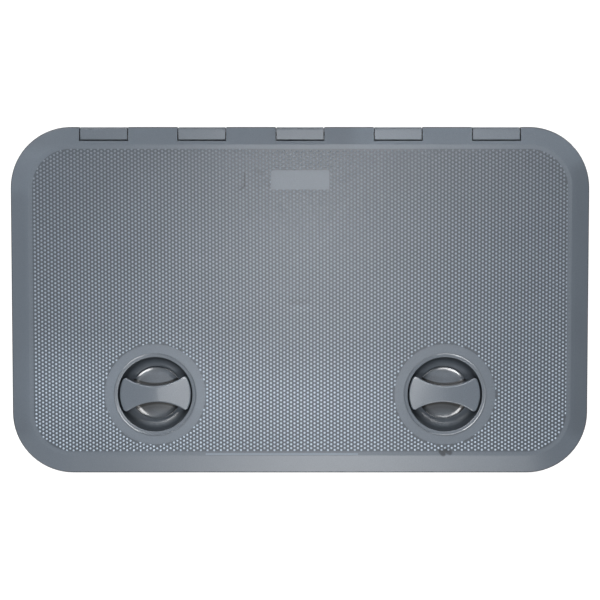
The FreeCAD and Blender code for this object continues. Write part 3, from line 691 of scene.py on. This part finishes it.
def dome_points(middles):
    """Points of each dome: the sunk foot, then rings at shares of the radius and height, then the top."""
    angles = np.arange(DOT_SIDES) * 2 * math.pi / DOT_SIDES
    circle = np.stack([np.cos(angles), np.sin(angles)], axis=-1) * DOT_RADIUS
    rings = [circle * share for share, _ in DOT_RINGS]
    flat = np.concatenate([*rings, np.zeros((1, 2))])
    heights = [-DOT_SUNK] + [DOT_HEIGHT * share for _, share in DOT_RINGS[1:]]
    rise = np.concatenate([np.repeat(heights, DOT_SIDES), [DOT_HEIGHT]])
    across = middles[:, None, :] + flat[None, :, :]
    for distance, way_back in field_limits(across):
        across = across + way_back * np.maximum(distance, 0.0)[..., None]
    height = np.broadcast_to(FIELD_TOP + rise, across.shape[:2])
    return np.concatenate([across, height[..., None]], axis=-1)


def dome_faces(count):
    """Side quads, top triangles and a foot cap of one dome, repeated with its points' offset."""
    k = np.arange(DOT_SIDES)
    after = (k + 1) % DOT_SIDES
    sides = grid_faces(len(DOT_RINGS), DOT_SIDES, False, True)
    last_ring = DOT_SIDES * (len(DOT_RINGS) - 1)
    top = last_ring + DOT_SIDES
    tops = np.stack([k + last_ring, after + last_ring, np.full(DOT_SIDES, top)], axis=-1)
    cap = k[::-1][None, :]
    start = (np.arange(count) * (top + 1))[:, None, None]
    faces = []
    for part in (sides, tops, cap):
        faces += (start + part[None]).reshape(-1, part.shape[1]).tolist()
    return faces


QUARTERS = {
    "dots_rear_right": (centres[:, 0] >= 0) & (centres[:, 1] >= 0),
    "dots_rear_left": (centres[:, 0] < 0) & (centres[:, 1] >= 0),
    "dots_front_left": (centres[:, 0] < 0) & (centres[:, 1] < 0),
    "dots_front_right": (centres[:, 0] >= 0) & (centres[:, 1] < 0),
}
for name, chosen in QUARTERS.items():
    domes = new_piece(name, dome_points(centres[chosen]), dome_faces(int(chosen.sum())), dot_plastic)
    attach(domes, "lid")
    print(name, int(chosen.sum()), "domes")

# %% [markdown]
# ## Latch cups
# A cup is turned about the spindle's axis: a rim whose top is a shallow hollow, a rounded lip, a short
# upright wall, a bowl that curves into a flat floor, and a boss below. The solid has the same form with
# plain corners and a tighter curve. Here one smooth section replaces it, because light runs round a real
# rim as thin bright arcs.

# %% Cup section
RIM_RADIUS = 42.85 * MM
RIM_THICKNESS = 1.8 * MM
RIM_FLAT_RADIUS = 40.9 * MM
RIM_DISH = 5.6 * MM
RIM_ROUND = 0.25 * MM
LIP_ROUND = 0.25 * MM
BOWL_RADIUS = 38.9 * MM
BOWL_CURVE = 16.4 * MM
OUTER_CURVE = 14.7 * MM
CUP_FLOOR = CUP_TOP - 17.3 * MM
CUP_WALL = 2.0 * MM
SPINDLE_HOLE = 7.1 * MM
BOSS_RADIUS = 11.5 * MM
BOSS_HEIGHT = 4.0 * MM
CUP_SEGMENTS = 160


def cup_section():
    """Closed section, anticlockwise: outside from the boss up to the rim, then the bowl back down.

    The rim's top is a shallow dish: flat next to the bowl, and rising on an arc to its outer edge."""
    outer = BOWL_RADIUS + CUP_WALL
    under = CUP_FLOOR - CUP_WALL
    curve_middle = (BOWL_RADIUS - BOWL_CURVE, CUP_FLOOR + BOWL_CURVE)
    outer_middle = (outer - OUTER_CURVE, under + OUTER_CURVE)
    rim_under = CUP_TOP - RIM_THICKNESS
    dish_angle, dish_rise = dish(RIM_RADIUS - RIM_ROUND - RIM_FLAT_RADIUS, RIM_DISH)
    rim_flat = CUP_TOP - dish_rise
    return joined([
        [(SPINDLE_HOLE, under - BOSS_HEIGHT)],
        [(BOSS_RADIUS, under - BOSS_HEIGHT), (BOSS_RADIUS, under)],
        arc(outer_middle, OUTER_CURVE, -90, 0, 14),
        straight((outer, outer_middle[1]), (outer, rim_under), 2),
        [(outer, rim_under), (RIM_RADIUS, rim_under)],
        arc((RIM_RADIUS - RIM_ROUND, CUP_TOP - RIM_ROUND), RIM_ROUND, 0, 90 + dish_angle, 6),
        arc((RIM_FLAT_RADIUS, rim_flat + RIM_DISH), RIM_DISH, dish_angle - 90, -90, 10),
        arc((BOWL_RADIUS + LIP_ROUND, rim_flat - LIP_ROUND), LIP_ROUND, 90, 180, 5),
        straight((BOWL_RADIUS, rim_flat - LIP_ROUND), (BOWL_RADIUS, curve_middle[1]), 1),
        arc(curve_middle, BOWL_CURVE, 0, -90, 20),
        straight((curve_middle[0], CUP_FLOOR), (SPINDLE_HOLE, CUP_FLOOR), 4),
        [(SPINDLE_HOLE, CUP_FLOOR)],
    ])


for side, middle in zip(SIDES, latch_middles):
    points, faces = turned(cup_section(), middle, CUP_SEGMENTS)
    cup = new_piece(f"{side}_cup_moulding", points, faces, cup_plastic)
    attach(cup, "lid")
    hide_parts(f"{side}_latch_cup")
    print(cup.name, len(faces), "faces")

# %% [markdown]
# ## Handles
# A handle is a bow tie seen from above: the ends follow the cup, the long sides are hollow, and the
# corners are round. Its top falls gently from a soft ridge in the middle to both ends. The surface is a
# closed outline carried along a path: up the leaning side, round the top edge, and in across the top to a
# line of points that runs along the middle, called the spine. The same outline closes the underside.

# %% Handle outline
HANDLE_TOP = CUP_TOP - 0.9 * MM
HANDLE_REACH = 37.3 * MM
WAIST_LEAN = 0.5 * MM
HANDLE_CORNER = 3.5 * MM
HANDLE_ROUND = 1.3 * MM
RIDGE_FALL = math.tan(math.radians(4.0))
RIDGE_SOFT = 14.0 * MM
HANDLE_FOOT = CUP_FLOOR + 1.0 * MM
BOWL_GAP = 1.0 * MM
SPINE_HALF = 27 * MM


def quarter_outline():
    """One quarter of the bow tie, from the waist to the tip, as three arcs that touch.

    The corner arc's centre lies at reach less corner from the middle, and at hollow plus corner from the
    hollow's centre, so its height is (a squared less b squared plus c squared) over 2 c."""
    hollow_y = WAIST_HALF + HOLLOW_RADIUS
    to_middle = HANDLE_REACH - HANDLE_CORNER
    to_hollow = HOLLOW_RADIUS + HANDLE_CORNER
    corner_y = (to_middle**2 - to_hollow**2 + hollow_y**2) / (2 * hollow_y)
    corner_x = math.sqrt(to_middle**2 - corner_y**2)
    tip_angle = math.degrees(math.atan2(corner_y, corner_x))
    hollow_angle = math.degrees(math.atan2(corner_y - hollow_y, corner_x))
    side = arc((0.0, hollow_y), HOLLOW_RADIUS, -90, hollow_angle, 26)
    corner = arc((corner_x, corner_y), HANDLE_CORNER, 180 + hollow_angle, tip_angle, 12)
    tip = arc((0.0, 0.0), HANDLE_REACH, tip_angle, 0, 14)
    return np.concatenate([side, corner[1:], tip[1:]])


def whole_outline():
    """The four mirrored quarters in one anticlockwise loop, and the outward direction at each point."""
    quarter = quarter_outline()
    rear_right = quarter[::-1]
    rear_left = quarter[1:] * (-1, 1)
    front_left = rear_left[::-1][1:] * (1, -1)
    front_left = np.concatenate([front_left, quarter[:1] * (1, -1)])
    front_right = quarter[1:-1] * (1, -1)
    loop = np.concatenate([rear_right, rear_left, front_left, front_right])
    along = np.roll(loop, -1, axis=0) - np.roll(loop, 1, axis=0)
    along /= np.linalg.norm(along, axis=-1)[:, None]
    return loop, np.stack([along[:, 1], -along[:, 0]], axis=-1)


print("handle outline:", len(whole_outline()[0]), "points")

# %% Handle surface
# Shares of the way from spine to foot below, from foot to round edge at the side, and back over the top.
UNDER_SHARES = (0.0, 0.35, 0.7, 0.97)
SIDE_SHARES = (0.0, 0.03, 0.3, 0.65, 0.97)
TOP_SHARES = (0.06, 0.25, 0.45, 0.65, 0.85, 1.0)
ROUND_STEPS = 8
MERGE_DIGITS = 7


def crown(x):
    """Height of the top: it falls with the distance from the ridge, which a hyperbola softens."""
    return HANDLE_TOP - RIDGE_FALL * (np.sqrt(x**2 + RIDGE_SOFT**2) - RIDGE_SOFT)


def underside(points):
    """Height of the underside: flat in the middle, and following the bowl's curve at a gap further out."""
    radius = np.linalg.norm(points, axis=-1)
    curve = BOWL_CURVE - BOWL_GAP
    out = np.clip(radius - (BOWL_RADIUS - BOWL_CURVE), 0.0, curve)
    return HANDLE_FOOT + curve - np.sqrt(curve**2 - out**2)


def bar_rows():
    """Closed rows of points from the spine below, out along the underside, up the side and in over the top.

    The outline grows by the side's lean, which is nothing at the top and all of it at the foot. Only the
    long sides lean, so the lean is multiplied by the square of the outward direction's y."""
    loop, outward = whole_outline()
    sideways = outward[:, 1:] ** 2
    spine = np.stack([np.clip(loop[:, 0], -SPINE_HALF, SPINE_HALF), np.zeros(len(loop))], axis=-1)
    top_depth = HANDLE_TOP - HANDLE_FOOT

    def at_height(z):
        """The outline at the height of each of its points."""
        return loop + outward * sideways * (WAIST_LEAN * (HANDLE_TOP - z) / top_depth)[:, None]

    rows = []
    foot_z = underside(loop)
    foot = at_height(foot_z)
    for share in UNDER_SHARES:
        flat = spine + share * (foot - spine)
        rows.append((flat, underside(flat)))
    round_start = crown(loop[:, 0]) - HANDLE_ROUND
    for share in SIDE_SHARES:
        z = foot_z + share * (round_start - foot_z)
        rows.append((at_height(z), z))
    for angle in np.radians(np.linspace(0, 90, ROUND_STEPS)):
        inset = HANDLE_ROUND * (1 - math.cos(angle))
        flat = loop - outward * inset
        rows.append((flat, crown(flat[:, 0]) - HANDLE_ROUND * (1 - math.sin(angle))))
    inner = loop - outward * HANDLE_ROUND
    for share in TOP_SHARES:
        flat = inner + share * (spine - inner)
        rows.append((flat, crown(flat[:, 0])))
    return np.stack([np.concatenate([flat, z[:, None]], axis=-1) for flat, z in rows])


def closed_points(points, faces):
    """Points that coincide become one, and faces that lose a corner stay as triangles."""
    rounded = np.round(points.reshape(-1, 3), MERGE_DIGITS)
    keys, where = np.unique(rounded, axis=0, return_inverse=True)
    kept_faces = []
    for corners in where.reshape(-1)[np.asarray(faces)].tolist():
        kept = [c for k, c in enumerate(corners) if c != corners[k - 1]]
        if len(set(kept)) > 2:
            kept_faces.append(kept)
    return keys, kept_faces


bar = bar_rows()
bar_points, bar_faces = closed_points(bar, grid_faces(bar.shape[0], bar.shape[1], False, True))
print("handle bar:", len(bar_points), "points", len(bar_faces), "faces")

# %% [markdown]
# ## Base disc and spindle
# Below the bar lies a round disc that is dished towards its edge, which gives the bright crescents, and
# below that the spindle with the groove of its seal and a square end. They are one moulding with the bar,
# so all of it is one object. The section starts and ends on the axis.

# %% Disc, spindle and square end
DISC_RADIUS = 27.4 * MM
DISC_FLAT_RADIUS = 21.6 * MM
DISC_TOP = HANDLE_FOOT + 1.2 * MM
DISC_EDGE = HANDLE_FOOT + 0.1 * MM
DISH_RADIUS = 16.4 * MM
EDGE_ROUND = 0.5 * MM
DISC_SKIRT = 1.6 * MM
SPINDLE_RADIUS = 7.0 * MM
SPINDLE_END = CUP_FLOOR - 6.0 * MM
GROOVE_DEPTH = 1.6 * MM
GROOVE_HALF = 1.25 * MM
GROOVE_Z = (CUP_FLOOR + SPINDLE_END) / 2
SQUARE_HALF = 4.8 * MM
SQUARE_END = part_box("left_handle")[0].z
HANDLE_SEGMENTS = 128


def spindle_section():
    """Section from the axis below, out and up to the disc's rounded edge, and back to the axis on top.

    The disc is flat in the middle and rises on an arc to its edge."""
    groove_r = SPINDLE_RADIUS - GROOVE_DEPTH
    edge_r = DISC_RADIUS - EDGE_ROUND
    dish_angle, dish_rise = dish(edge_r - DISC_FLAT_RADIUS, DISH_RADIUS)
    edge_z = DISC_TOP + dish_rise - EDGE_ROUND
    return joined([
        [(0.0, SPINDLE_END), (SPINDLE_RADIUS, SPINDLE_END)],
        [(SPINDLE_RADIUS, GROOVE_Z - GROOVE_HALF), (groove_r, GROOVE_Z - GROOVE_HALF)],
        [(groove_r, GROOVE_Z + GROOVE_HALF), (SPINDLE_RADIUS, GROOVE_Z + GROOVE_HALF)],
        [(SPINDLE_RADIUS, HANDLE_FOOT), (DISC_RADIUS - DISC_SKIRT, HANDLE_FOOT)],
        [(DISC_RADIUS - DISC_SKIRT, DISC_EDGE), (DISC_RADIUS, DISC_EDGE)],
        arc((edge_r, edge_z), EDGE_ROUND, 0, 90 + dish_angle, 6),
        arc((DISC_FLAT_RADIUS, DISC_TOP + DISH_RADIUS), DISH_RADIUS, dish_angle - 90, -90, 16),
        straight((DISC_FLAT_RADIUS, DISC_TOP), (0.0, DISC_TOP), 6),
        [(0.0, DISC_TOP)],
    ])


def square_end():
    """The eight corners of the square shank and its six faces."""
    corners = SQUARE * SQUARE_HALF
    low = np.concatenate([corners, np.full((4, 1), SQUARE_END)], axis=-1)
    high = np.concatenate([corners, np.full((4, 1), SPINDLE_END)], axis=-1)
    sides = [[k, (k + 1) % 4, (k + 1) % 4 + 4, k + 4] for k in range(4)]
    return np.concatenate([low, high]), sides + [[3, 2, 1, 0], [4, 5, 6, 7]]


def handle_shells():
    """The bar, the turned part and the square end, each one closed, with their faces renumbered."""
    section_points, section_faces = turned(spindle_section(), (0.0, 0.0), HANDLE_SEGMENTS)
    shells = [(bar_points, bar_faces), closed_points(section_points, section_faces), square_end()]
    all_points = []
    all_faces = []
    for points, faces in shells:
        start = sum(len(p) for p in all_points)
        all_points.append(points)
        all_faces += [[c + start for c in face] for face in faces]
    return np.concatenate(all_points), all_faces


def turned_about(points, angle, middle):
    """Points turned by an angle about an upright axis, then moved to it."""
    x = points[:, 0] * math.cos(angle) - points[:, 1] * math.sin(angle)
    y = points[:, 0] * math.sin(angle) + points[:, 1] * math.cos(angle)
    return np.stack([x + middle[0], y + middle[1], points[:, 2]], axis=-1)


handle_points, handle_faces = handle_shells()
for side, middle, direction in zip(SIDES, latch_middles, (1, -1)):
    moved = turned_about(handle_points, direction * HANDLE_TURN, middle)
    handle = new_piece(f"{side}_handle_moulding", moved, handle_faces, handle_plastic)
    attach(handle, f"{side}_latch")
    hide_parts(f"{side}_handle")
    print(handle.name, len(handle_faces), "faces")

# %% [markdown]
# ## Floor and background
# The hatch stands on a pale floor on its coaming's lower edge. The floor is white to the camera because
# of a part of its own light that only camera, mirror and glass rays see, and the rest is lit by the
# lamps, so the hatch still has a shadow. That part grows with the distance, where the lamps no longer
# reach. The world is white to the camera in the same way. To mirrors it is white only near the horizon,
# like the pale walls of a room, and dark above, so that the glossy plastic reflects lamps and not a sky.

# %% Floor
FLOOR_HALF = 12.0
FLOOR_GAP = 0.0002
FLOOR_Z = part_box("frame")[0].z - FLOOR_GAP
FLOOR_OWN_LIGHT = 0.86
FLOOR_FAR_LIGHT = 1.0
FLOOR_NEAR = 0.7
FLOOR_FAR = 2.5
FLOOR_GREY = 0.30
FLOOR_ROUGHNESS = 0.9


def seen_directly(tree, mirror_share=1.0):
    """1 for camera rays, this share for those of a mirror or glass, 0 for light that falls on surfaces."""
    path = add(tree, "ShaderNodeLightPath").outputs
    mirrored = maths(tree, "MAXIMUM", path["Is Glossy Ray"], path["Is Transmission Ray"])
    return maths(tree, "MAXIMUM", path["Is Camera Ray"], maths(tree, "MULTIPLY", mirrored, mirror_share))


def floor_material():
    """Grey matte floor that its own light makes white in direct views."""
    material, tree, shader = new_material("floor")
    shader.inputs["Base Color"].default_value = (FLOOR_GREY, FLOOR_GREY, FLOOR_GREY, 1.0)
    shader.inputs["Roughness"].default_value = FLOOR_ROUGHNESS
    shader.inputs["Specular IOR Level"].default_value = 0.0
    shader.inputs["Emission Color"].default_value = (1.0, 1.0, 1.0, 1.0)
    away = vector_maths(tree, "LENGTH", {0: place(tree)}, "Value")
    own_light = spread_to(tree, away, FLOOR_OWN_LIGHT, FLOOR_FAR_LIGHT, FLOOR_NEAR, FLOOR_FAR)
    strength = maths(tree, "MULTIPLY", seen_directly(tree), own_light)
    tree.links.new(strength, shader.inputs["Emission Strength"])
    return material


floor_points = np.concatenate([SQUARE * FLOOR_HALF, np.full((4, 1), FLOOR_Z)], axis=-1)
floor = new_piece("floor", floor_points, [[0, 1, 2, 3]], floor_material())
print("floor at", FLOOR_Z)

# %% World
WORLD_LEVEL = 0.02
WALLS_END = 0.35
WALLS_FADE = 0.20
world = bpy.data.worlds.new("world")
bpy.context.scene.world = world
world.use_nodes = True
world_tree = world.node_tree
background = world_tree.nodes["Background"]
background.inputs["Color"].default_value = (1.0, 1.0, 1.0, 1.0)
walls = height_between(world_tree, WALLS_END, WALLS_END + WALLS_FADE, 1.0, 0.0)
world_light = maths(world_tree, "MAXIMUM", seen_directly(world_tree, walls), WORLD_LEVEL)
world_tree.links.new(world_light, background.inputs["Strength"])
print("world level", WORLD_LEVEL)

# %% [markdown]
# ## Lamps
# All nine lamps are rectangles that face the lid's middle, so a lamp's place decides which facets it
# lights. Three low ones at the rear light the bevels and the sides of the dots. The one overhead, and two
# small ones near it, are mirrored in the flat plastic and make the middle brighter and the handles'
# halves differ. The two at the front light the front bevel and the ridge side of the handles. The last,
# low at the front left, draws the bright arcs on the rims and discs.

# %% Lamps
LAMPS = {
    "rear_left": {"at": (-1.35, 1.35, 1.10), "size": (1.2, 0.4), "watts": 24.0},
    "rear_right": {"at": (1.35, 1.35, 1.10), "size": (1.2, 0.4), "watts": 13.0},
    "rear": {"at": (0.0, 1.90, 1.10), "size": (2.0, 0.4), "watts": 20.0},
    "overhead": {"at": (0.0, 0.10, 1.8), "size": (0.3, 0.6), "watts": 7.9},
    "over_handles": {"at": (-0.12, -0.32, 1.8), "size": (0.4, 0.4), "watts": 1.0},
    "high_rear": {"at": (0.34, 0.45, 1.8), "size": (0.4, 0.3), "watts": 2.6},
    "front": {"at": (0.04, -1.15, 1.8), "size": (0.5, 0.5), "watts": 13.3},
    "front_right": {"at": (0.45, -1.25, 1.8), "size": (0.3, 0.3), "watts": 3.2},
    "low_left": {"at": (-1.35, -1.35, 1.10), "size": (0.9, 0.4), "watts": 8.2},
}


def hang_lamp(name, at, size, watts):
    """Rectangular lamp that faces the lid's middle, hidden from the camera."""
    data = bpy.data.lights.new(name, "AREA")
    data.shape = "RECTANGLE"
    data.size, data.size_y = size
    data.energy = watts
    lamp = bpy.data.objects.new(name, data)
    lamp.location = at
    direction = -lamp.location.normalized()
    lamp.rotation_euler = direction.to_track_quat("-Z", "Y").to_euler()
    lamp.visible_camera = False
    bpy.context.scene.collection.objects.link(lamp)


for name, lamp in LAMPS.items():
    hang_lamp(name, **lamp)
print("lamps:", len(LAMPS))

# %% [markdown]
# ## Finish
# The picture uses the plain screen curve.

# %% Finish
bpy.context.scene.view_settings.view_transform = "Standard"
